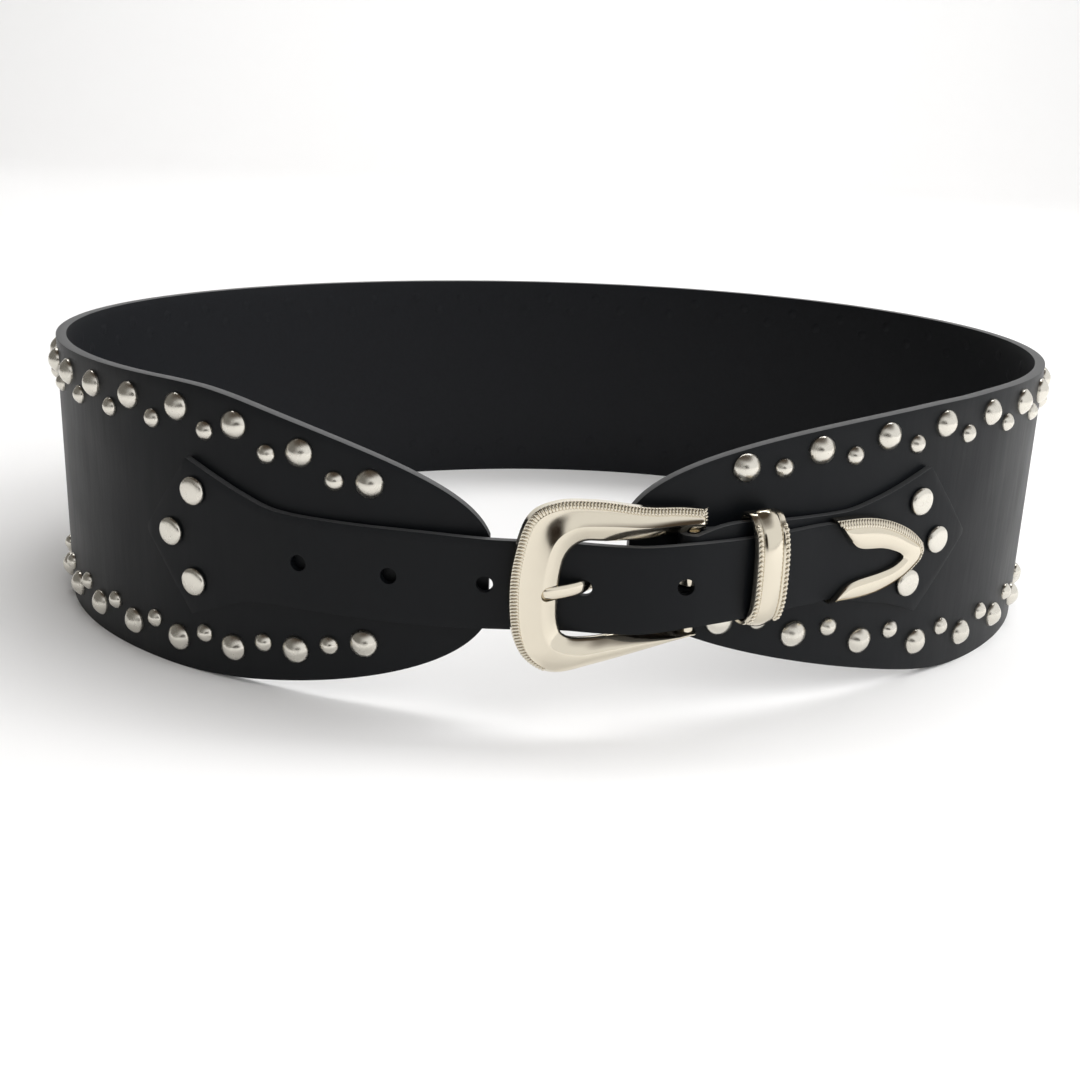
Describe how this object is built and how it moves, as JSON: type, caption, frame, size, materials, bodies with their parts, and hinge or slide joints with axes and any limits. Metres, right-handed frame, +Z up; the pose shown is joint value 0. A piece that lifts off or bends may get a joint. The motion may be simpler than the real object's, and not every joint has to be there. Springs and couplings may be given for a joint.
{
  "type": "studded waist belt",
  "caption": "Wide waist belt of black leather closed as an oval ring, edged with dome studs and buckled in front by a narrow strap with a horseshoe frame, keeper and metal tip.",
  "frame": {"origin": "centre of the belt's box at the height of the lower edge it stands on", "axes": "+Z up along the band's height, -Y out of the front with the buckle, +X to the right seen from the front"},
  "size_m": [0.3166, 0.2675, 0.08],
  "materials": {
    "band_leather": "smooth, soft sheen",
    "strap_leather": "smooth, soft sheen",
    "cast_nickel": "polished, warm",
    "rivet_nickel": "polished"
  },
  "bodies": {
    "root": {"waist_band": "band_leather", "tip_strap": "strap_leather", "buckle_strap": "strap_leather", "buckle_frame": "cast_nickel", "buckle_prong": "cast_nickel", "keeper_loop": "cast_nickel", "strap_tip": "cast_nickel", "rivet_left_upper": "rivet_nickel", "rivet_left_middle": "rivet_nickel", "rivet_left_lower": "rivet_nickel", "rivet_right_upper": "rivet_nickel", "rivet_right_middle": "rivet_nickel", "rivet_right_lower": "rivet_nickel"}
  },
  "joints": []
}
